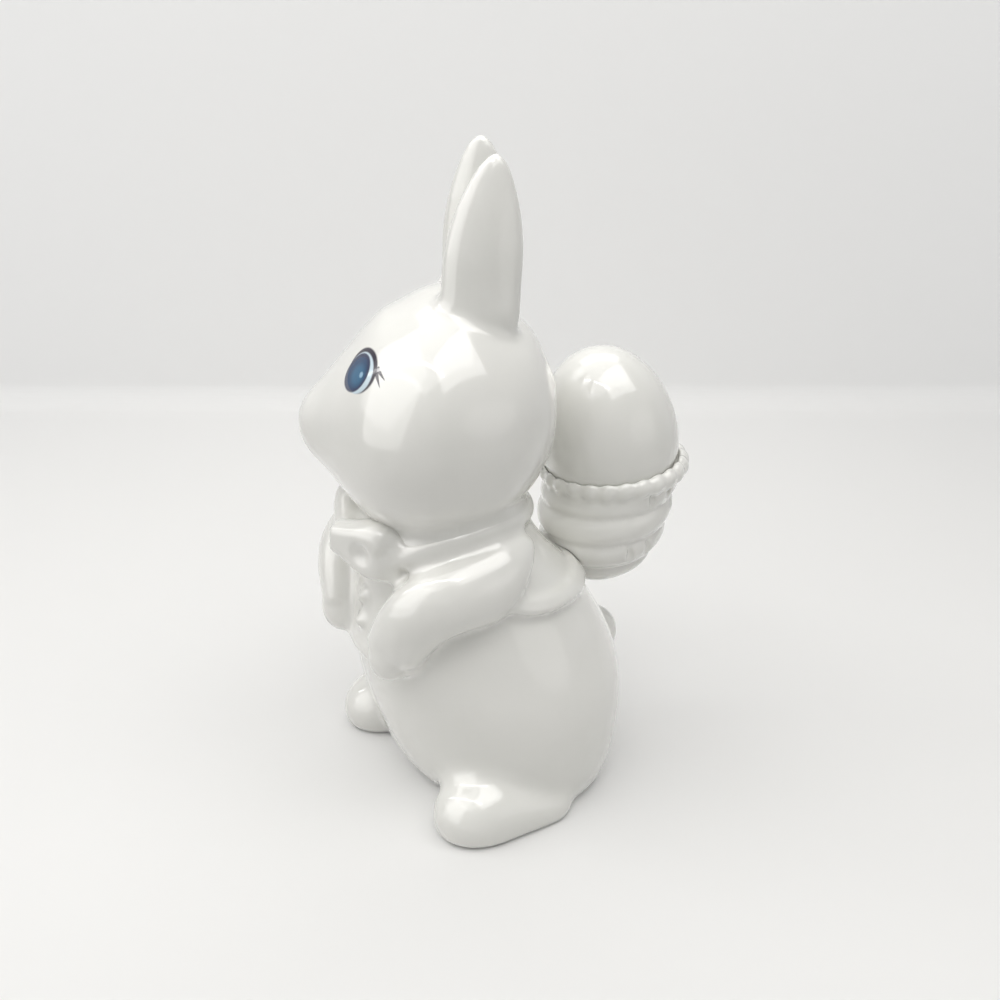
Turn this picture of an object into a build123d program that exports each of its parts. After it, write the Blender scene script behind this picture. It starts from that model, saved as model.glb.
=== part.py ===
from build123d import *
import os
from math import cos, pi, radians, sin

# The figure sits on Z = 0 and faces -Y, and its left side is +X
# Body casting: a hollow pear, open at the neck, with a vent hole in its flat base
body_width = 68.6
body_depth = 63.7
body_height = 72.5
casting_wall = 3.5
vent_diameter = 8.0
belly_lead = 3.7
# Each row: height, half width, front and rear, as shares of the body's sizes
body_section_shares = [
    (0.0, 0.430, 0.207, 0.890),
    (0.035, 0.459, 0.160, 0.945),
    (0.11, 0.485, 0.113, 0.976),
    (0.23, 0.500, 0.063, 1.0),
    (0.36, 0.500, 0.022, 1.0),
    (0.49, 0.471, 0.0, 0.961),
    (0.61, 0.426, 0.006, 0.890),
    (0.72, 0.379, 0.026, 0.796),
    (0.82, 0.331, 0.034, 0.686),
    (0.91, 0.286, 0.032, 0.617),
    (1.0, 0.250, 0.030, 0.560),
]

# Head casting: a hollow ball drawn out to a snout, turned a little to its right
head_radius = 27.7
head_width = 57.0
snout_reach = 28.8
head_height = 93.5
head_setback = 14.4
head_turn = 28.0
# Each row: how far forward of the head's centre, as a share of the reach on that side,
# then half width, crown and jaw, as shares of the head's radius
head_section_shares = [
    (-0.9985, 0.055, 0.055, 0.055),
    (-0.965, 0.26, 0.262, 0.262),
    (-0.87, 0.49, 0.493, 0.493),
    (-0.68, 0.733, 0.733, 0.733),
    (-0.36, 0.945, 0.92, 0.933),
    (0.0, 1.03, 0.965, 1.0),
    (0.17, 1.01, 0.885, 0.985),
    (0.33, 0.95, 0.80, 0.935),
    (0.49, 0.82, 0.65, 0.82),
    (0.63, 0.65, 0.485, 0.66),
    (0.76, 0.47, 0.33, 0.49),
    (0.87, 0.325, 0.205, 0.37),
    (0.95, 0.215, 0.105, 0.26),
    (0.988, 0.11, 0.02, 0.155),
    (0.9985, 0.035, -0.035, 0.10),
]

# Ears: solid leaves let into the crown, broad face outwards and a little back
ear_breadth = 16.4
ear_thickness = 8.0
ear_facing = -8.0
ear_spread_low = 10.8
ear_spread_high = 8.5
# Top of each ear, then how far behind the head's centre it starts and ends
ears = {"ear_left": (147.6, 10.4, 13.9), "ear_right": (150.0, 11.2, 11.6)}
ear_root_height = 108.0
ear_section_shares = [
    (0.0, 0.90), (0.16, 0.955), (0.30, 1.0), (0.42, 1.0), (0.55, 0.97), (0.66, 0.88),
    (0.76, 0.75), (0.85, 0.58), (0.92, 0.415), (0.965, 0.265), (0.99, 0.135), (0.9985, 0.05),
]

# Feet and tail: solid lumps pressed onto the body
foot_length = 25.0
foot_width = 20.0
foot_height = 14.0
foot_sunk_height = 5.0
foot_spread = 25.5
tail_diameter = 14.0
tail_height = 25.0
tail_set_in = 7.0

# Jacket: a thin skin round the shoulders with a rolled hem, drawn up by the arms
jacket_thickness = 1.3
# Each row: a point of the hem seen from the side, as its setback and height
hem_stops = [
    (-14.0, 39.0), (-5.0, 39.2), (-1.2, 41.0), (1.4, 45.5), (5.0, 51.0), (10.0, 55.0), (15.5, 56.8),
    (21.0, 55.2), (27.0, 54.0), (35.0, 53.3), (46.0, 52.2), (66.0, 51.0),
]
hem_height = 3.2
hem_thickness = 1.5
hem_front_thickness = 0.6

# Collar: a roll round the neck, open under the chin
collar_radius = 20.3
collar_roll = 5.2
# Each row: angle behind the rabbit's left side, and the height of the roll there
collar_stops = [(-48, 67.4), (-25, 69.9), (0, 71.7), (45, 71.0), (90, 70.2)]

# Buttons down the front: how far ahead of the toe line and how high
button_diameter = 3.4
buttons = {"button_upper": (3.8, 52.4), "button_lower": (4.6, 46.6)}

# Bow under the chin
bow_height = 68.2
bow_lead = 6.8
bow_sweep = 27.0
bow_tilt = 8.0
knot_width = 6.4
knot_height = 7.2
loop_reach = 15.0
loop_end_height = 12.4
loop_end_depth = 7.0
loop_root_height = 5.0
loop_root_depth = 4.0
loop_corner_share = 0.42
# Each row: distance from the knot as a share of the reach, and size between root and end
loop_section_shares = [(0.0, 0.0), (0.3, 0.35), (0.62, 0.85), (0.85, 1.0), (1.0, 0.72)]
loop_dimple_reach_share = 0.68
loop_dimple_diameter = 5.0
loop_dimple_depth = 1.2

# Arms: a full sleeve from each shoulder and a paw resting on the belly
# Each row: the two ends of the sleeve's broad way, and how far it stands across that
sleeve_rows = [
    ((19.0, 27.5, 67.0), (20.0, 20.5, 53.0), 5.0),
    ((21.0, 25.9, 69.0), (22.0, 16.5, 51.8), 11.0),
    ((17.3, -3.5, 61.6), (21.0, 4.4, 48.6), 12.4),
    ((12.4, -6.1, 54.8), (20.0, 1.1, 44.7), 10.8),
    ((9.8, -7.9, 47.4), (17.3, 0.2, 41.8), 8.2),
]
paw_cuff = (13.6, -3.6, 45.5)
paw_tip = (12.4, -4.6, 38.0)
paw_length = 13.0
paw_width = 10.0

# Basket on the back: a woven bowl with a braided rim, and a tall egg set in it
basket_setback = 65.0
rim_height = 71.0
basket_lean = 6.0
basket_radius = 17.2
basket_depth = 28.0
basket_draw_in = 6.6
basket_draw_power = 0.5
bowl_taper_share = 0.58
bowl_taper_power = 4
weave_rows = 4
weave_groove = 1.5
weave_swell_shares = [(0.0, 0.0), (0.14, 0.62), (0.5, 1.0), (0.86, 0.62), (1.0, 0.0)]
strands_per_row = 4
weave_step_share = 0.45
knuckle_share = 0.22
strand_gap = 1.7
strand_gap_depth = 1.3
strand_gap_height_share = 0.94
strand_gap_reach_share = -0.35
rim_radius = 16.2
rim_roll = 5.2
rim_bore_radius = 16.3
rim_core_share = 0.8
rim_lumps = 26
lump_overlap = 1.5
braid_slant = 35.0
egg_radius = 17.1
egg_rise = 31.0
egg_belly_rise = 7.0
egg_lean = 8.0
egg_drop = 18.0
egg_points = 7
egg_tip_angle = 88.5

# The front of the toes lies on this line, and one overrun serves every cut
toe_line = 0.0
overrun = 2.0


def oval(height, half_width, front, rear):
    """A level oval between a front and a rear line."""
    return Pos(0, (front + rear) / 2, height) * Ellipse(half_width, (rear - front) / 2)


def body_ovals(grow, grow_front, floor_height):
    """The body's level sections, grown or shrunk square to its side."""
    ovals = []
    for height_share, width_share, front_share, rear_share in body_section_shares:
        height = max(height_share * body_height, floor_height)
        half_width = width_share * body_width + grow
        front = front_share * body_depth - belly_lead - grow_front
        rear = rear_share * body_depth - belly_lead + grow
        ovals.append(oval(height, half_width, front, rear))
    return ovals


def body_form(grow=0.0, grow_front=0.0):
    """The body as one smooth loft, as large as asked for outside the real skin."""
    return loft(body_ovals(grow, grow_front, 0.0))


def make_body():
    """The hollow body casting, open at the neck and vented below."""
    outer = body_form()
    shrunk = body_ovals(-casting_wall, -casting_wall, casting_wall)
    hollow = loft(shrunk[1:])
    base_centre = (body_section_shares[0][2] + body_section_shares[0][3]) / 2
    vent_place = Pos(0, base_centre * body_depth - belly_lead, casting_wall / 2)
    vent = vent_place * Cylinder(vent_diameter / 2, casting_wall + 2 * overrun)
    return outer - hollow - vent


def head_section(reach_share, half_width_share, crown_share, jaw_share, wall):
    """One upright oval of the head, square to the line from neck to snout."""
    reach = head_radius if reach_share < 0 else snout_reach
    crown = crown_share * (head_radius - wall)
    jaw = jaw_share * (head_radius - wall)
    half_width = half_width_share * (head_width / 2 - wall)
    place = Pos(0, -reach_share * (reach - wall), (crown - jaw) / 2) * Rot(90, 0, 0)
    return place * Ellipse(half_width, (crown + jaw) / 2)


def head_form(wall=0.0):
    """The head as one loft from the nape to the tip of the snout, or the space inside its wall."""
    return loft([head_section(*shares, wall) for shares in head_section_shares])


def turned_head(shape):
    """Carries a shape from the head's own frame to its place on the neck."""
    return Pos(0, head_setback, head_height) * Rot(0, 0, -head_turn) * shape


def neck_block():
    """All the space below the neck joint."""
    side = 4 * body_width
    return Pos(0, 0, body_height - side / 2) * Box(side, side, side)


def make_head():
    """The hollow head casting, cut flat where it is luted to the neck."""
    outer = turned_head(head_form())
    hollow = turned_head(head_form(casting_wall))
    return outer - hollow - neck_block()


def make_ear(side, name):
    """One leaf-shaped ear, from inside the crown to its tip."""
    top, setback_low, setback_high = ears[name]
    root = ear_root_height - head_height
    rise = top - ear_root_height
    sections = []
    for height_share, breadth_share in ear_section_shares:
        spread = ear_spread_low + (ear_spread_high - ear_spread_low) * height_share
        setback = setback_low + (setback_high - setback_low) * height_share ** 2
        place = Pos(side * spread, setback, root + rise * height_share) * Rot(0, 0, -side * ear_facing)
        half_thickness = ear_thickness / 2 * breadth_share
        sections.append(place * Ellipse(half_thickness, ear_breadth / 2 * breadth_share))
    return turned_head(loft(sections))


def ball(width, depth, height):
    """An egg-shaped lump about the origin."""
    return scale(Sphere(1), by=(width / 2, depth / 2, height / 2))


def pod(width, length):
    """A round lump, longer or shorter along Z, turned about Z."""
    bulge = EllipticalCenterArc((0, 0), width / 2, length / 2, -90, arc_size=180)
    half = make_face([bulge, Line((0, length / 2), (0, -length / 2))])
    return revolve(Plane.XZ * half, Axis.Z)


def make_foot(side, body):
    """A rounded toe cap that shows from under the body."""
    whole_height = foot_height + foot_sunk_height
    place = Pos(side * foot_spread, toe_line + foot_length / 2, foot_height - whole_height / 2)
    lump = place * ball(foot_width, foot_length, whole_height)
    room = Pos(0, 0, foot_height) * Box(2 * body_width, 2 * body_depth, 2 * foot_height)
    return lump & room - body


def make_tail(body):
    """A round tail pressed onto the rear of the body."""
    setback = body_depth - belly_lead + tail_diameter / 2 - tail_set_in
    return Pos(0, setback, tail_height) * Rot(90, 0, 0) * Sphere(tail_diameter / 2) - body


def above_hem(lift):
    """The space above the jacket's lower edge, lifted by an amount."""
    edge = Spline(*[(setback, height + lift) for setback, height in hem_stops])
    front, rear = edge @ 0, edge @ 1
    top = 2 * body_height
    roof = Polyline((rear.X, rear.Y), (rear.X, top), (front.X, top), (front.X, front.Y))
    return extrude(Plane.YZ * make_face([edge, roof]), amount=body_width, both=True)


def make_jacket(body):
    """The jacket as a skin on the body, from the hem up to the collar."""
    return body_form(jacket_thickness, jacket_thickness) & above_hem(0.0) - body


def hem_band():
    """A slice of the dressed body, thicker behind: the hem and all inside it."""
    swollen = body_form(jacket_thickness + hem_thickness, jacket_thickness + hem_front_thickness)
    return (swollen & above_hem(-hem_height / 2)) - above_hem(hem_height / 2)


def collar_point(angle, height):
    """A point of the collar's path at an angle behind the rabbit's left side."""
    turn = radians(angle)
    return (collar_radius * cos(turn), head_setback + collar_radius * sin(turn), height)


def make_collar():
    """A roll of clay round the neck, with round ends either side of the chin."""
    left = [collar_point(*stop) for stop in collar_stops]
    right = [(-x, y, z) for x, y, z in reversed(left[:-1])]
    path = Spline(*(left + right))
    roll = sweep((path ^ 0) * Circle(collar_roll / 2), path)
    ends = [Pos(*(path @ at)) * Sphere(collar_roll / 2) for at in (0, 1)]
    return roll + ends[0] + ends[1]


def make_button(lead, height):
    """A low round button on the jacket's front."""
    return Pos(0, -lead, height) * Sphere(button_diameter / 2)


def on_bow(shape):
    """Carries a shape from the bow's own frame to its place under the chin."""
    return Pos(0, -bow_lead, bow_height) * Rot(0, bow_tilt, 0) * shape


def make_loop(side):
    """One full loop of the bow, widening away from the knot, with a dimple in its face."""
    sections = []
    for reach_share, size_share in loop_section_shares:
        height = loop_root_height + (loop_end_height - loop_root_height) * size_share
        depth = loop_root_depth + (loop_end_depth - loop_root_depth) * size_share
        corner = min(height, depth) * loop_corner_share
        place = Pos(side * loop_reach * reach_share, 0, 0) * Rot(0, 90, 0)
        sections.append(place * RectangleRounded(height, depth, corner))
    dimple_place = Pos(side * loop_reach * loop_dimple_reach_share, -loop_end_depth / 2, 0)
    dimple = dimple_place * ball(loop_dimple_diameter, 2 * loop_dimple_depth, loop_dimple_diameter)
    return on_bow(Rot(0, 0, side * bow_sweep) * (loft(sections) - dimple))


def make_knot():
    """The knot in the middle of the bow."""
    return on_bow(pod(knot_width, knot_height))


def sleeve_section(one_end, other_end, depth):
    """An oval between two points of the sleeve, standing out square to the neck's axis."""
    breadth = Vector(*one_end) - Vector(*other_end)
    centre = (Vector(*one_end) + Vector(*other_end)) / 2
    outwards = Vector(centre.X, centre.Y - head_setback, 0)
    along = outwards.cross(breadth)
    plane = Plane(origin=centre, x_dir=breadth, z_dir=along)
    return plane * Ellipse(breadth.length / 2, depth / 2)


def make_sleeve():
    """The left sleeve: tucked under the collar, broad at the elbow and narrow at the cuff."""
    return loft([sleeve_section(*row) for row in sleeve_rows])


def make_paw(side):
    """A mitten of a paw, half out of its cuff."""
    tip = Vector(side * paw_tip[0], *paw_tip[1:])
    along = (tip - Vector(side * paw_cuff[0], *paw_cuff[1:])).normalized()
    plane = Plane(origin=tip - along * (paw_length / 2), z_dir=along)
    return plane * pod(paw_width, paw_length)


def on_basket(shape):
    """Carries a shape from the basket's own frame to its place on the back."""
    return Pos(0, basket_setback, rim_height) * Rot(basket_lean, 0, 0) * shape


def bowl_circle(depth_share):
    """Radius and forward shift of the bowl at a share of its depth."""
    radius = basket_radius * (1 - bowl_taper_share * depth_share ** bowl_taper_power)
    below_rim = max(0.0, depth_share - rim_roll / 2 / basket_depth)
    shift = -basket_draw_in * below_rim ** basket_draw_power
    return radius, shift


def make_roll(row):
    """One swelling roll of the bowl, from groove to groove."""
    circles = []
    for phase, swell in weave_swell_shares:
        depth_share = (row + phase) / weave_rows
        radius, shift = bowl_circle(depth_share)
        place = Pos(0, shift, -basket_depth * depth_share)
        circles.append(place * Circle(radius - weave_groove * (1 - swell)))
    return loft(circles)


def make_bowl():
    """The bowl: rolls of cane one under another."""
    rolls = [make_roll(row) for row in range(weave_rows)]
    return rolls[0] + rolls[1:]


def make_strand_gaps():
    """Upright lens cuts that part each roll into long and short strands, but not against the back."""
    gaps = []
    period = 360 / strands_per_row
    cut_height = basket_depth / weave_rows * strand_gap_height_share
    for row in range(weave_rows):
        depth_share = (row + 0.5) / weave_rows
        radius, shift = bowl_circle(depth_share)
        for strand in range(strands_per_row):
            for edge_share in (0.0, knuckle_share):
                angle = period * (strand + edge_share + row * weave_step_share)
                if sin(radians(angle)) > strand_gap_reach_share:
                    lens = scale(pod(strand_gap, cut_height), by=(2 * strand_gap_depth / strand_gap, 1, 1))
                    place = Pos(0, shift, -basket_depth * depth_share) * Rot(0, 0, angle) * Pos(radius, 0, 0)
                    gaps.append(place * lens)
    return gaps


def make_rim():
    """The braided rim: slanting lumps laid end to end round a ring."""
    rim = Torus(rim_radius, rim_roll / 2 * rim_core_share)
    lump_length = 2 * pi * rim_radius / rim_lumps * lump_overlap
    lumps = []
    for lump in range(rim_lumps):
        angle = 360 / rim_lumps * lump
        place = Rot(0, 0, angle) * Pos(rim_radius, 0, 0) * Rot(90 + braid_slant, 0, 0)
        lumps.append(place * pod(rim_roll, lump_length))
    bore = Cylinder(rim_bore_radius, 4 * rim_roll)
    seat = Pos(0, 0, -rim_roll) * Cylinder(basket_radius, 2 * rim_roll)
    return rim + lumps - bore - seat


def make_egg():
    """A tall egg, blunt end down in the bowl."""
    points = []
    for step in range(-egg_points, egg_points + 1):
        turn = radians(egg_tip_angle) * step / egg_points
        reach = egg_drop if step < 0 else egg_rise - egg_belly_rise
        points.append((egg_radius * cos(turn), egg_belly_rise + reach * sin(turn)))
    side = Spline(*points)
    spine = Polyline(points[-1], (0, points[-1][1]), (0, points[0][1]), points[0])
    return revolve(Plane.XZ * make_face([side, spine]), Axis.Z)


def add_castings(pieces, body_whole, head_whole):
    """The two hollow castings and the plain sprigs that stand on them."""
    pieces["body_casting"] = make_body()
    pieces["head_casting"] = make_head()
    pieces["ear_left"] = make_ear(1, "ear_left") - head_whole
    pieces["ear_right"] = make_ear(-1, "ear_right") - head_whole
    pieces["foot_left"] = make_foot(1, body_whole)
    pieces["foot_right"] = mirror(pieces["foot_left"], about=Plane.YZ)
    pieces["tail"] = make_tail(body_whole)


def add_jacket(pieces, body_whole, head_whole, dressed, band):
    """The jacket with its hem, collar, sleeves, paws and buttons."""
    jacket = make_jacket(body_whole) - head_whole
    collar = make_collar() - head_whole - dressed
    sleeve_whole = make_sleeve()
    sleeve = sleeve_whole - head_whole - dressed - band - collar
    right_sleeve_whole = mirror(sleeve_whole, about=Plane.YZ)
    pieces["jacket"] = jacket
    pieces["jacket_hem"] = band - body_whole - jacket
    pieces["collar"] = collar
    pieces["sleeve_left"] = sleeve
    pieces["sleeve_right"] = mirror(sleeve, about=Plane.YZ)
    pieces["paw_left"] = make_paw(1) - sleeve_whole - dressed - band
    pieces["paw_right"] = make_paw(-1) - right_sleeve_whole - dressed - band
    for name, place in buttons.items():
        pieces[name] = make_button(*place) - dressed


def add_bow(pieces, head_whole, dressed):
    """The knot and the two loops, each loop cut back by what it rests on."""
    knot = make_knot() - head_whole - dressed
    pieces["bow_knot"] = knot
    for side, name in ((1, "left"), (-1, "right")):
        under = [knot, head_whole, dressed, pieces["collar"], pieces["sleeve_" + name]]
        pieces["bow_loop_" + name] = make_loop(side) - under


def add_basket(pieces, body_whole, band):
    """The egg, and the bowl and rim cut to fit round it and against the back."""
    egg = on_basket(Rot(egg_lean, 0, 0) * make_egg())
    bowl = on_basket(make_bowl()) - egg - body_whole - band
    pieces["egg"] = egg
    pieces["basket_bowl"] = bowl - [on_basket(gap) for gap in make_strand_gaps()]
    pieces["basket_rim"] = on_basket(make_rim()) - egg


def assemble():
    """Every piece at its place, each cut back where a larger one carries it."""
    pieces = {}
    body_whole = body_form()
    head_whole = turned_head(head_form()) - neck_block()
    dressed = body_form(jacket_thickness, jacket_thickness)
    band = hem_band()
    add_castings(pieces, body_whole, head_whole)
    add_jacket(pieces, body_whole, head_whole, dressed, band)
    add_bow(pieces, head_whole, dressed)
    add_basket(pieces, body_whole, band)
    return pieces


def write_parts():
    """One file for each piece, with the origin below the middle of the whole figure."""
    os.makedirs("parts", exist_ok=True)
    pieces = assemble()
    whole = Compound(children=[Compound(piece.solids()) for piece in pieces.values()])
    box = whole.bounding_box()
    shift = Pos(-box.center().X, -box.center().Y, 0)
    for name, piece in pieces.items():
        solids = (shift * piece).solids()
        export_step(Compound(solids) if len(solids) > 1 else solids[0], f"parts/{name}.step")
        print(name, len(solids), round(sum(solid.volume for solid in solids)))


write_parts()
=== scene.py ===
import math

import bpy
from mathutils import Matrix, Vector


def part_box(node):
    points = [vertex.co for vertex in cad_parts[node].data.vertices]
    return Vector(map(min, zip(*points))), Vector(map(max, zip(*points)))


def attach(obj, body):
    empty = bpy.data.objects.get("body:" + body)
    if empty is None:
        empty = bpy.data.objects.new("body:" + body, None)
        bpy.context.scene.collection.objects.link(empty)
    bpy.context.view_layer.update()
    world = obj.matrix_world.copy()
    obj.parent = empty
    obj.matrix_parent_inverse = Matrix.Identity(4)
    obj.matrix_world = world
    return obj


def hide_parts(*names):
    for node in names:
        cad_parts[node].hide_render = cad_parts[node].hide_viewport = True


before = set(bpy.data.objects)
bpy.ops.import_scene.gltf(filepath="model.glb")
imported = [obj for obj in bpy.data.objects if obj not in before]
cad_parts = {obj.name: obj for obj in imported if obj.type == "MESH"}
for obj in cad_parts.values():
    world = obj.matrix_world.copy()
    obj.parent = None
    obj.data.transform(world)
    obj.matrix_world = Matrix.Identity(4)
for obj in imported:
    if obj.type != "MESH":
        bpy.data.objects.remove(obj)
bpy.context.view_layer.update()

# The body: a hollow pear-shaped casting of white clay with toe caps and a tail, and a jacket with its hem,
# collar, sleeves, paws, buttons and bow laid on it. All of it is luted while damp, fired, and dipped in
# clear glaze, which rounds the seams and is wiped off the base that stands. Its hollows get painted shade,
# a grey that stands also for a little glaze pooling there.
MM = 0.001
CAST_NODES = ["body_casting", "foot_left", "foot_right", "tail"]
LAID_NODES = [
    "jacket", "jacket_hem", "collar", "sleeve_left", "sleeve_right", "paw_left", "paw_right",
    "button_upper", "button_lower", "bow_knot", "bow_loop_left", "bow_loop_right",
]
MERGE_REACH = 0.002 * MM
CORE_SHARE = 0.965

CAST_GRAIN = 0.6 * MM
CAST_FILLET = 2.8 * MM
CAST_EASE = 10
LAID_GRAIN = 0.55 * MM
LAID_FILLET = 0.9 * MM
LAID_EASE = 4
BODY_WAVE = 0.05 * MM
BODY_HOLLOW_SHADE_REACH = 3 * MM

FOOT_SHIFT_OUT = 4 * MM
FOOT_SHIFT_BACK = 14 * MM
FOOT_SHARE = 0.58

NEAR_LOOP_SHIFT = (-1.3 * MM, -2.6 * MM, 1.2 * MM)
NEAR_LOOP_STRETCH = (1.1, 1.4, 1.12)
FAR_LOOP_SHIFT = (1.0 * MM, -0.6 * MM, -1.4 * MM)
FAR_LOOP_STRETCH = (1.0, 1.15, 1.0)


def edit_all():
    bpy.ops.object.mode_set(mode="EDIT")
    bpy.ops.mesh.select_all(action="SELECT")


def leave_edit():
    bpy.ops.object.mode_set(mode="OBJECT")


def copy_nodes(names):
    """One new mesh of the named solids, with their loose triangles merged."""
    bpy.ops.object.select_all(action="DESELECT")
    copies = []
    for name in names:
        copy = bpy.data.objects.new(name + "_copy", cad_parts[name].data.copy())
        bpy.context.scene.collection.objects.link(copy)
        copy.data.materials.clear()
        copies.append(copy)
    piece = join(copies)
    edit_all()
    bpy.ops.mesh.remove_doubles(threshold=MERGE_REACH)
    leave_edit()
    return piece


def join(pieces):
    bpy.ops.object.select_all(action="DESELECT")
    for piece in pieces:
        piece.select_set(True)
    bpy.context.view_layer.objects.active = pieces[0]
    if len(pieces) > 1:
        bpy.ops.object.join()
    return pieces[0]


def core_of(name):
    """The air inside a casting, as a hull a little smaller than its outside."""
    core = copy_nodes([name])
    low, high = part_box(name)
    edit_all()
    bpy.ops.mesh.convex_hull()
    bpy.ops.mesh.select_all(action="SELECT")
    bpy.ops.transform.resize(value=(CORE_SHARE,) * 3, center_override=(low + high) / 2)
    leave_edit()
    return core


def drawn_back(name, shift_out):
    """A toe cap drawn back along the floor into the body, as the mould leaves it."""
    cap = copy_nodes([name])
    low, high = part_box(name)
    standing = Vector(((low.x + high.x) / 2, (low.y + high.y) / 2, low.z))
    edit_all()
    bpy.ops.mesh.duplicate()
    bpy.ops.transform.resize(value=(FOOT_SHARE,) * 3, center_override=standing)
    bpy.ops.transform.translate(value=(shift_out, FOOT_SHIFT_BACK, 0))
    bpy.ops.mesh.select_all(action="SELECT")
    bpy.ops.mesh.convex_hull()
    leave_edit()
    return cap


def plumped(name, shift, stretch):
    """A bow loop pressed fuller than its solid and moved a little."""
    loop = copy_nodes([name])
    low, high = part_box(name)
    edit_all()
    bpy.ops.transform.resize(value=stretch, center_override=(low + high) / 2)
    bpy.ops.transform.translate(value=shift)
    leave_edit()
    return loop


def shape(piece, kind, **settings):
    """Adds one modifier to a piece and applies it."""
    step = piece.modifiers.new(kind.title(), kind)
    for name, value in settings.items():
        setattr(step, name, value)
    bpy.ops.object.select_all(action="DESELECT")
    bpy.context.view_layer.objects.active = piece
    piece.select_set(True)
    bpy.ops.object.modifier_apply(modifier=step.name)


SMOOTH_SHARE = 0.5
FIRST_EASE = 2


def smooth(piece, steps):
    shape(piece, "SMOOTH", factor=SMOOTH_SHARE, iterations=steps)


def fuse(piece, grain, fillet, ease):
    """Melts overlapping shells into one skin, and fills its hollow seams to a radius."""
    shape(piece, "REMESH", mode="VOXEL", voxel_size=grain)
    smooth(piece, FIRST_EASE)
    shape(piece, "DISPLACE", strength=fillet, mid_level=0)
    shape(piece, "REMESH", mode="VOXEL", voxel_size=grain)
    smooth(piece, ease)
    shape(piece, "DISPLACE", strength=-fillet, mid_level=0)
    smooth(piece, FIRST_EASE)
    shape(piece, "REMESH", mode="VOXEL", voxel_size=grain)
    smooth(piece, ease)
    return piece


class Socket:
    """A shader value that adds its Math nodes as it is used in an expression."""

    def __init__(self, paint, link):
        self.paint = paint
        self.link = link

    def math(self, operation, *values):
        inputs = dict(enumerate(values))
        return self.paint.node("ShaderNodeMath", {"operation": operation}, inputs)[0]

    def __add__(self, other):
        return self.math("ADD", self, other)

    def __radd__(self, other):
        return self.math("ADD", other, self)

    def __sub__(self, other):
        return self.math("SUBTRACT", self, other)

    def __rsub__(self, other):
        return self.math("SUBTRACT", other, self)

    def __mul__(self, other):
        return self.math("MULTIPLY", self, other)

    def __rmul__(self, other):
        return self.math("MULTIPLY", other, self)

    def __truediv__(self, other):
        return self.math("DIVIDE", self, other)

    def __pow__(self, other):
        return self.math("POWER", self, other)

    def __abs__(self):
        return self.math("ABSOLUTE", self)


class Finish:
    """The nodes round one shader, with one method that adds any other node."""

    def __init__(self, owner, shader):
        owner.use_nodes = True
        self.owner = owner
        self.tree = owner.node_tree
        self.shader = self.tree.nodes[shader]

    def set(self, socket, value):
        if isinstance(value, Socket):
            self.tree.links.new(value.link, socket)
        else:
            socket.default_value = value

    def node(self, kind, settings=None, inputs=None):
        made = self.tree.nodes.new(kind)
        for name, value in (settings or {}).items():
            setattr(made, name, value)
        for key, value in (inputs or {}).items():
            named = [s for s in made.inputs if s.name == key and s.enabled]
            self.set(named[0] if named else made.inputs[key], value)
        return [Socket(self, output) for output in made.outputs if output.enabled]

    def place(self):
        return Socket(self, self.tree.nodes.new("ShaderNodeTexCoord").outputs["Object"])

    def noise(self, scale, detail, swirl):
        inputs = {"Vector": self.place(), "Scale": scale, "Detail": detail, "Distortion": swirl}
        return self.node("ShaderNodeTexNoise", {}, inputs)[0]

    def vector(self, operation, *values):
        inputs = dict(enumerate(values))
        return self.node("ShaderNodeVectorMath", {"operation": operation}, inputs)[0]

    def ramp(self, value, low, high):
        settings = {"interpolation_type": "SMOOTHSTEP"}
        return self.node("ShaderNodeMapRange", settings, {0: value, 1: low, 2: high})[0]

    def mix(self, mask, under, over):
        inputs = {"Factor": mask, "A": under, "B": over}
        return self.node("ShaderNodeMix", {"data_type": "RGBA"}, inputs)[0]

    def give(self, name, value):
        self.set(self.shader.inputs[name], value)


CLEAR_WHITE = (0.86, 0.857, 0.825, 1)
THICK_WHITE = (0.835, 0.835, 0.80, 1)
# Grey painted into the hollows as shade, with a little pooled glaze in it.
SHADED_AND_POOLED_WHITE = (0.66, 0.655, 0.605, 1)
BARE_CLAY = (0.78, 0.74, 0.66, 1)
UP = (0, 0, 1)

CLOUD_SCALE = 45
CLOUD_DETAIL = 3
CLOUD_SWIRL = 0.6
CLOUD_EDGES = (0.35, 0.7)
HOLLOW_SHADE_EDGES = (0.15, 0.8)
HOLLOW_SHADE_SAMPLES = 8
WIPED_EDGES = (0.15 * MM, 0.5 * MM)

SHEEN_SCALE = 160
SHEEN_DETAIL = 2
SHEEN_EDGES = (0.4, 0.7)
SMOOTHEST = 0.10
SHEEN_RISE = 0.07
BARE_ROUGHNESS = 0.5
COAT_ROUGHNESS = 0.04
GLAZE_IOR = 1.5

WAVE_SCALE = 70
WAVE_DETAIL = 2
WAVE_SWIRL = 0.3
WAVE_STRENGTH = 0.6


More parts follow.
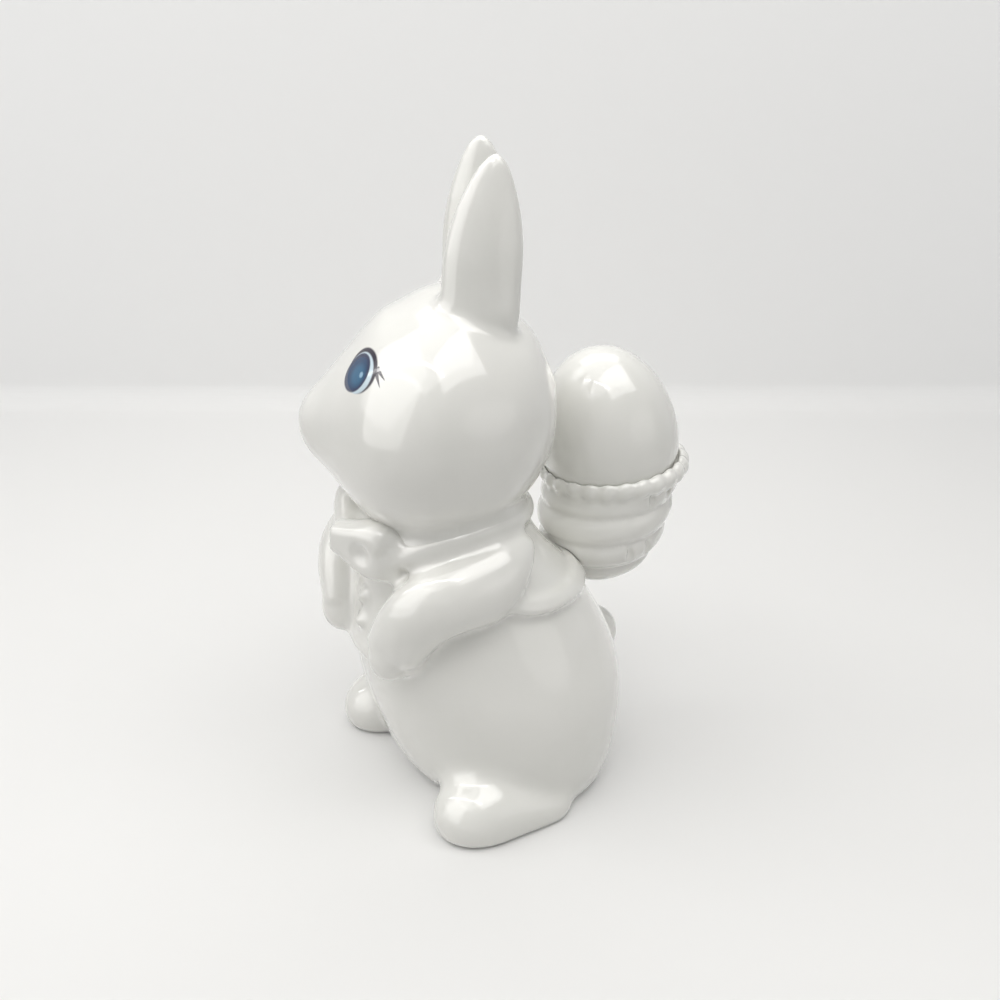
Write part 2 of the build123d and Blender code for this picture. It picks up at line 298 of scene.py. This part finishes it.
def glaze(name, wave_height, hollow_shade_reach):
    """Clear glaze on white clay, cloudy where it is thick, bare where the figure stands, and grey in its
    hollows with painted shade.
    """
    finish = Finish(bpy.data.materials.new(name), "Principled BSDF")
    cloud = finish.ramp(finish.noise(CLOUD_SCALE, CLOUD_DETAIL, CLOUD_SWIRL), *CLOUD_EDGES)
    colour = finish.mix(cloud, CLEAR_WHITE, THICK_WHITE)
    # Painted shade: the colour turns grey in hollows that ambient occlusion finds, standing also for a
    # little pooled glaze.
    openness = finish.node(
        "ShaderNodeAmbientOcclusion",
        {"samples": HOLLOW_SHADE_SAMPLES, "only_local": True},
        {"Distance": hollow_shade_reach, "Color": (1, 1, 1, 1)},
    )[1]
    colour = finish.mix(finish.ramp(1 - openness, *HOLLOW_SHADE_EDGES), colour, SHADED_AND_POOLED_WHITE)
    height = finish.vector("DOT_PRODUCT", finish.place(), UP)
    wiped = 1 - finish.ramp(height, *WIPED_EDGES)
    sheen = finish.ramp(finish.noise(SHEEN_SCALE, SHEEN_DETAIL, 0), *SHEEN_EDGES)
    wave = finish.noise(WAVE_SCALE, WAVE_DETAIL, WAVE_SWIRL)
    inputs = {"Height": wave, "Distance": wave_height, "Strength": WAVE_STRENGTH}
    finish.colour = finish.mix(wiped, colour, BARE_CLAY)
    finish.coat = 1 - wiped
    finish.give("Base Color", finish.colour)
    finish.give("Roughness", SMOOTHEST + SHEEN_RISE * sheen + BARE_ROUGHNESS * wiped)
    finish.give("Coat Weight", finish.coat)
    finish.give("Coat Roughness", COAT_ROUGHNESS)
    finish.give("IOR", GLAZE_IOR)
    finish.give("Normal", finish.node("ShaderNodeBump", {}, inputs)[0])
    return finish


def glazed(piece, name, node_names, finish):
    """Gives a piece its glaze and name, hides the solids it stands for, and hangs it from the root."""
    bpy.ops.object.shade_smooth()
    piece.name = name
    piece.data.name = name
    piece.data.materials.append(finish.owner)
    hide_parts(*node_names)
    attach(piece, "root")


caps = [drawn_back("foot_left", FOOT_SHIFT_OUT), drawn_back("foot_right", -FOOT_SHIFT_OUT)]
cast = join([copy_nodes(CAST_NODES), core_of("body_casting")] + caps)
cast = fuse(cast, CAST_GRAIN, CAST_FILLET, CAST_EASE)
bow = [
    plumped("bow_loop_left", NEAR_LOOP_SHIFT, NEAR_LOOP_STRETCH),
    plumped("bow_loop_right", FAR_LOOP_SHIFT, FAR_LOOP_STRETCH),
]
figure = join([cast, copy_nodes(LAID_NODES)] + bow)
figure = fuse(figure, LAID_GRAIN, LAID_FILLET, LAID_EASE)
body_glaze = glaze("body_glaze", BODY_WAVE, BODY_HOLLOW_SHADE_REACH)
glazed(figure, "figure_body", CAST_NODES + LAID_NODES, body_glaze)

# The head: a hollow ball-and-snout casting turned to the figure's right, luted to the collar, with solid
# ears let into its crown. The eyes are painted with a brush: lid line, white, iris and two lashes, with a
# small painted highlight on each iris.
HEAD_NODES = ["head_casting", "ear_left", "ear_right"]
HEAD_GRAIN = 0.46 * MM
HEAD_FILLET = 2.0 * MM
HEAD_EASE = 7
HEAD_WAVE = 0.05 * MM
HEAD_HOLLOW_SHADE_REACH = 2.5 * MM
SEAM_DEPTH = 0.2 * MM
HEAD_CENTRE = Vector((0, -20.8, 93.5)) * MM
HEAD_TURN = math.radians(28)
forward = Vector((-math.sin(HEAD_TURN), -math.cos(HEAD_TURN), 0))
sideways = Vector((math.cos(HEAD_TURN), -math.sin(HEAD_TURN), 0))
upward = Vector(UP)

EYE_WHITE = (0.62, 0.74, 0.82, 1)
IRIS_NAVY = (0.010, 0.020, 0.075, 1)
IRIS_BLUE = (0.002, 0.045, 0.13, 1)
IRIS_TEAL = (0.018, 0.125, 0.25, 1)
# A painted highlight: the small pale spot on the iris where a glint would show.
IRIS_PAINTED_HIGHLIGHT = (0.30, 0.50, 0.68, 1)
LID_INK = (0.018, 0.012, 0.03, 1)

EYE_PLACE = (13.6, 16.6, 13.1)
EYE_FACING = (0.72, 0.46, 0.52)
EYE_DEPTH_EDGES = (-5, -4)
EYE_TILT = math.radians(-28)
LID_OVAL = ((-0.55, 0.62), (11.2, 8.9), 0.05)
EYE_OVALS = [
    ((-0.85, 0.0), (9.9, 8.2), 0.05, EYE_WHITE),
    ((-1.75, -0.2), (8.6, 8.3), 0.05, IRIS_NAVY),
    ((-1.7, -0.3), (7.2, 6.9), 0.14, IRIS_BLUE),
    ((-1.0, -0.6), (4.6, 4.2), 0.45, IRIS_TEAL),
    # The last oval is a painted highlight on the iris.
    ((0.35, -0.3), (1.3, 1.1), 0.4, IRIS_PAINTED_HIGHLIGHT),
]
LASHES = [((3.9, 2.3), (7.3, 0.6), 1.0), ((4.3, 1.5), (7.1, -1.1), 0.9)]
LASH_ROOT = 1.1
LASH_BLUR = 0.12
LASH_START_EDGES = (-0.05, 0.05)
LASH_END_EDGES = (0.9, 1.05)
PAINT_COAT_LOSS = 0.85


def on_head(parts, side):
    ahead, across, above = parts
    return forward * ahead + sideways * across * side + upward * above


def oval_mask(finish, across, above, centre, size, blur):
    """1 inside a tilted oval of the painted eye, in millimetres, and 0 outside it."""
    x = across - centre[0]
    y = above - centre[1]
    along = (x * math.cos(EYE_TILT) + y * math.sin(EYE_TILT)) / (size[0] / 2)
    over = (y * math.cos(EYE_TILT) - x * math.sin(EYE_TILT)) / (size[1] / 2)
    reach = (along * along + over * over) ** 0.5
    return 1 - finish.ramp(reach, 1 - blur, 1 + blur)


def lash_mask(finish, across, above, start, end, width):
    """1 on a brush stroke that tapers from its start to its end."""
    run = Vector(end) - Vector(start)
    x = across - start[0]
    y = above - start[1]
    along = (x * run.x + y * run.y) / (run.length * run.length)
    aside = (x * run.y - y * run.x) / run.length
    half = width / 2 * (LASH_ROOT - along)
    inside = 1 - finish.ramp(abs(aside) - half, -LASH_BLUR, LASH_BLUR)
    return inside * finish.ramp(along, *LASH_START_EDGES) * (1 - finish.ramp(along, *LASH_END_EDGES))


def paint_eye(finish, side):
    """Paints one eye on a finish, and takes most of its coat off the paint."""
    facing = on_head(EYE_FACING, side).normalized()
    rise = (upward - facing * facing.z).normalized()
    reach = rise.cross(facing) * side
    middle = HEAD_CENTRE + on_head(EYE_PLACE, side) * MM
    offset = finish.vector("SUBTRACT", finish.place(), middle)
    across = finish.vector("DOT_PRODUCT", offset, reach / MM)
    above = finish.vector("DOT_PRODUCT", offset, rise / MM)
    depth = finish.vector("DOT_PRODUCT", offset, facing / MM)
    near = finish.ramp(depth, *EYE_DEPTH_EDGES)
    lid = oval_mask(finish, across, above, *LID_OVAL) * near
    finish.colour = finish.mix(lid, finish.colour, LID_INK)
    finish.coat = finish.coat * (1 - PAINT_COAT_LOSS * lid)
    for start, end, width in LASHES:
        lash = lash_mask(finish, across, above, start, end, width) * near
        finish.colour = finish.mix(lash, finish.colour, LID_INK)
    for centre, size, blur, paint in EYE_OVALS:
        oval = oval_mask(finish, across, above, centre, size, blur) * near
        finish.colour = finish.mix(oval, finish.colour, paint)


collar_seam = copy_nodes(["collar"])
shape(collar_seam, "DISPLACE", strength=-SEAM_DEPTH, mid_level=0)
head = join([copy_nodes(HEAD_NODES), core_of("head_casting"), collar_seam])
head = fuse(head, HEAD_GRAIN, HEAD_FILLET, HEAD_EASE)
head_glaze = glaze("head_glaze", HEAD_WAVE, HEAD_HOLLOW_SHADE_REACH)
for side in (1, -1):
    paint_eye(head_glaze, side)
head_glaze.give("Base Color", head_glaze.colour)
head_glaze.give("Coat Weight", head_glaze.coat)
glazed(head, "figure_head", HEAD_NODES, head_glaze)

# The egg: a tall egg of the same clay that stands in the basket, luted to its rim and glazed with it. Its
# skin is smoother than the body's, so its glaze has shallower waves.
EGG_GRAIN = 0.5 * MM
EGG_FILLET = 0.5 * MM
EGG_EASE = 6
EGG_WAVE = 0.04 * MM
EGG_HOLLOW_SHADE_REACH = 2.5 * MM

egg = fuse(copy_nodes(["egg"]), EGG_GRAIN, EGG_FILLET, EGG_EASE)
glazed(egg, "egg_shell", ["egg"], glaze("egg_glaze", EGG_WAVE, EGG_HOLLOW_SHADE_REACH))

# The basket: a bowl of clay strands woven in rows, with a braided rim laid round its mouth and the whole
# pressed against the back. Painted shade greys its glaze between the strands, with a little pooled glaze.
BASKET_NODES = ["basket_bowl", "basket_rim"]
BASKET_GRAIN = 0.34 * MM
BASKET_FILLET = 0.35 * MM
BASKET_EASE = 3
BASKET_WAVE = 0.05 * MM
BASKET_HOLLOW_SHADE_REACH = 2.2 * MM

basket = fuse(copy_nodes(BASKET_NODES), BASKET_GRAIN, BASKET_FILLET, BASKET_EASE)
basket_glaze = glaze("basket_glaze", BASKET_WAVE, BASKET_HOLLOW_SHADE_REACH)
glazed(basket, "woven_basket", BASKET_NODES, basket_glaze)

# The table: a sheet of matt white board that rises behind the figure as a wall, with a tight curve between.
# It is one sheet, so it has no seam, and only its part near the figure throws light back on it.
VIEW_TURN = math.radians(59)
WALL_DISTANCE = 0.270
BOARD_WIDTH = 6.0
WALL_HEIGHT = 3.0
BEND_RADIUS = 0.012
BEND_STEPS = 12
NEAR_PAPER = (0.72, 0.72, 0.715, 1)
FAR_PAPER = (0.15, 0.15, 0.149, 1)
FAR_EDGES = (0.18, 0.7)
FLOOR_LIFT = 0.09
WALL_LIFT = 0.17
FAR_LIFT = 0.53
PAPER_ROUGHNESS = 0.75
PAPER_GLOSS = 0.2
CAMERA_RAY = 0
GLOSSY_RAY = 3
TRANSMISSION_RAY = 6


def seen_rays(finish):
    """1 for what the camera sees, directly or in the glaze, and 0 for what lights other things."""
    path = finish.node("ShaderNodeLightPath")
    return 1 - (1 - path[CAMERA_RAY]) * (1 - path[GLOSSY_RAY]) * (1 - path[TRANSMISSION_RAY])


bpy.ops.object.select_all(action="DESELECT")
bpy.ops.mesh.primitive_plane_add(size=1)
board = bpy.context.active_object
board.name = "board"
edit_all()
bpy.ops.transform.resize(value=(BOARD_WIDTH, BOARD_WIDTH, 1))
bpy.ops.transform.translate(value=(0, WALL_DISTANCE - BOARD_WIDTH / 2, 0))
bpy.ops.mesh.select_all(action="DESELECT")
leave_edit()
for edge in board.data.edges:
    ends = [board.data.vertices[i].co.y for i in edge.vertices]
    edge.select = min(ends) > WALL_DISTANCE - BEND_RADIUS
bpy.ops.object.mode_set(mode="EDIT")
bpy.ops.mesh.select_mode(type="EDGE")
bpy.ops.mesh.spin(
    steps=BEND_STEPS, angle=-math.pi / 2, center=(0, WALL_DISTANCE, BEND_RADIUS), axis=(1, 0, 0)
)
bpy.ops.mesh.extrude_region_move(TRANSFORM_OT_translate={"value": (0, 0, WALL_HEIGHT)})
bpy.ops.mesh.select_all(action="SELECT")
bpy.ops.mesh.normals_make_consistent(inside=False)
leave_edit()
bpy.ops.object.shade_flat()
board.data.transform(Matrix.Rotation(VIEW_TURN, 4, "Z"))

paper = Finish(bpy.data.materials.new("board_paper"), "Principled BSDF")
far = paper.ramp(paper.vector("LENGTH", paper.place()), *FAR_EDGES)
wall = paper.ramp(paper.vector("DOT_PRODUCT", paper.place(), UP), 0, BEND_RADIUS)
lift = seen_rays(paper) * (FLOOR_LIFT + (WALL_LIFT - FLOOR_LIFT) * wall + FAR_LIFT * far)
paper.give("Base Color", paper.mix(far, NEAR_PAPER, FAR_PAPER))
paper.give("Roughness", PAPER_ROUGHNESS)
paper.give("Specular IOR Level", PAPER_GLOSS)
paper.give("Emission Color", paper.mix(lift, (0, 0, 0, 1), (1, 1, 1, 1)))
paper.give("Emission Strength", 1)
board.data.materials.append(paper.owner)

# The studio: a tall window at the left of the picture, a soft ceiling, a lamp at the right, one behind and
# a thin tube, with a pane and a glow that show only as soft patches on the glaze. The room is pale where it
# is seen, and throws little light.
DAYLIGHT = (1.0, 0.99, 0.97)
BACK_LIGHT = (1.0, 0.99, 0.98)
WARM_LIGHT = (1.0, 0.98, 0.95)
AIM = Vector((0, 0, 75)) * MM
LAMPS = [
    ("window", (72, 36), 0.62, (0.70, 0.62), 0.85, DAYLIGHT),
    ("ceiling", (60, 84), 0.80, (1.3, 1.3), 1.1, DAYLIGHT),
    ("front", (-45, 60), 0.62, (0.60, 0.44), 1.9, DAYLIGHT),
    ("back", (176, 62), 0.47, (0.46, 0.22), 1.6, BACK_LIGHT),
]
PANE = ("pane", (60, 14), 0.60, (0.66, 0.80), 1.3, DAYLIGHT)
GLOWS = [
    ("glow_wide", (-60, 6), 0.60, (0.50, 0.30), 0.35, WARM_LIGHT),
    ("glow_middle", (-60, 6), 0.60, (0.36, 0.216), 0.35, WARM_LIGHT),
    ("glow_narrow", (-60, 6), 0.60, (0.22, 0.132), 0.4, WARM_LIGHT),
]
TUBE = ("tube", (63, 55), 0.455, (0.90, 0.018), 8.0, DAYLIGHT)
TUBE_ENDS = ((104, 26), (-11, 52))
ROOM_WHITE = (1.0, 1.0, 0.99, 1)
ROOM_LIGHTS = 0.06
ROOM_SEEN = 0.74

looking = Vector((-math.sin(VIEW_TURN), math.cos(VIEW_TURN), 0))
rightward = Vector((math.cos(VIEW_TURN), math.sin(VIEW_TURN), 0))


def direction(to_left, elevation):
    """Where a lamp stands, in degrees to the left of the camera and above the floor."""
    turn = math.radians(to_left)
    rise = math.radians(elevation)
    level = -rightward * math.sin(turn) - looking * math.cos(turn)
    return level * math.cos(rise) + upward * math.sin(rise)


def lamp(name, place, distance, size, radiance, colour, along=None):
    light = bpy.data.lights.new(name, "AREA")
    light.shape = "RECTANGLE"
    light.size, light.size_y = size
    light.energy = radiance * math.pi * size[0] * size[1]
    light.color = colour
    standing = bpy.data.objects.new(name, light)
    bpy.context.scene.collection.objects.link(standing)
    back = direction(*place).normalized()
    across = (along or upward.cross(back)).normalized()
    over = back.cross(across).normalized()
    turned = Matrix((over.cross(back), over, back)).transposed().to_4x4()
    standing.matrix_world = Matrix.Translation(AIM + back * distance) @ turned
    return standing


for row in LAMPS:
    lamp(*row)
lamp(*PANE).visible_diffuse = False
for row in GLOWS:
    glow = lamp(*row)
    glow.data.shape = "ELLIPSE"
    glow.visible_diffuse = False
lamp(*TUBE, along=direction(*TUBE_ENDS[0]) - direction(*TUBE_ENDS[1]))

room = Finish(bpy.data.worlds.new("room"), "Background")
room.give("Color", ROOM_WHITE)
room.give("Strength", ROOM_LIGHTS + (ROOM_SEEN - ROOM_LIGHTS) * seen_rays(room))
bpy.context.scene.world = room.owner
bpy.context.scene.view_settings.view_transform = "Standard"

# The camera stands at the front left of the figure, a little above its ears, and looks down at it. Its lens
# has a plain view, with no shift.
CAMERA_PLACE = Vector((193.56, -119.79, 164.0)) * MM
CAMERA_DROP = math.radians(23)
SENSOR = 36.0
FOCAL_SHARE = 1.04
lens = bpy.data.cameras.new("camera")
lens.sensor_width = SENSOR
lens.lens = SENSOR * FOCAL_SHARE
camera = bpy.data.objects.new("camera", lens)
bpy.context.scene.collection.objects.link(camera)
camera.location = CAMERA_PLACE
camera.rotation_euler = (math.pi / 2 - CAMERA_DROP, 0, VIEW_TURN)
bpy.context.scene.camera = camera
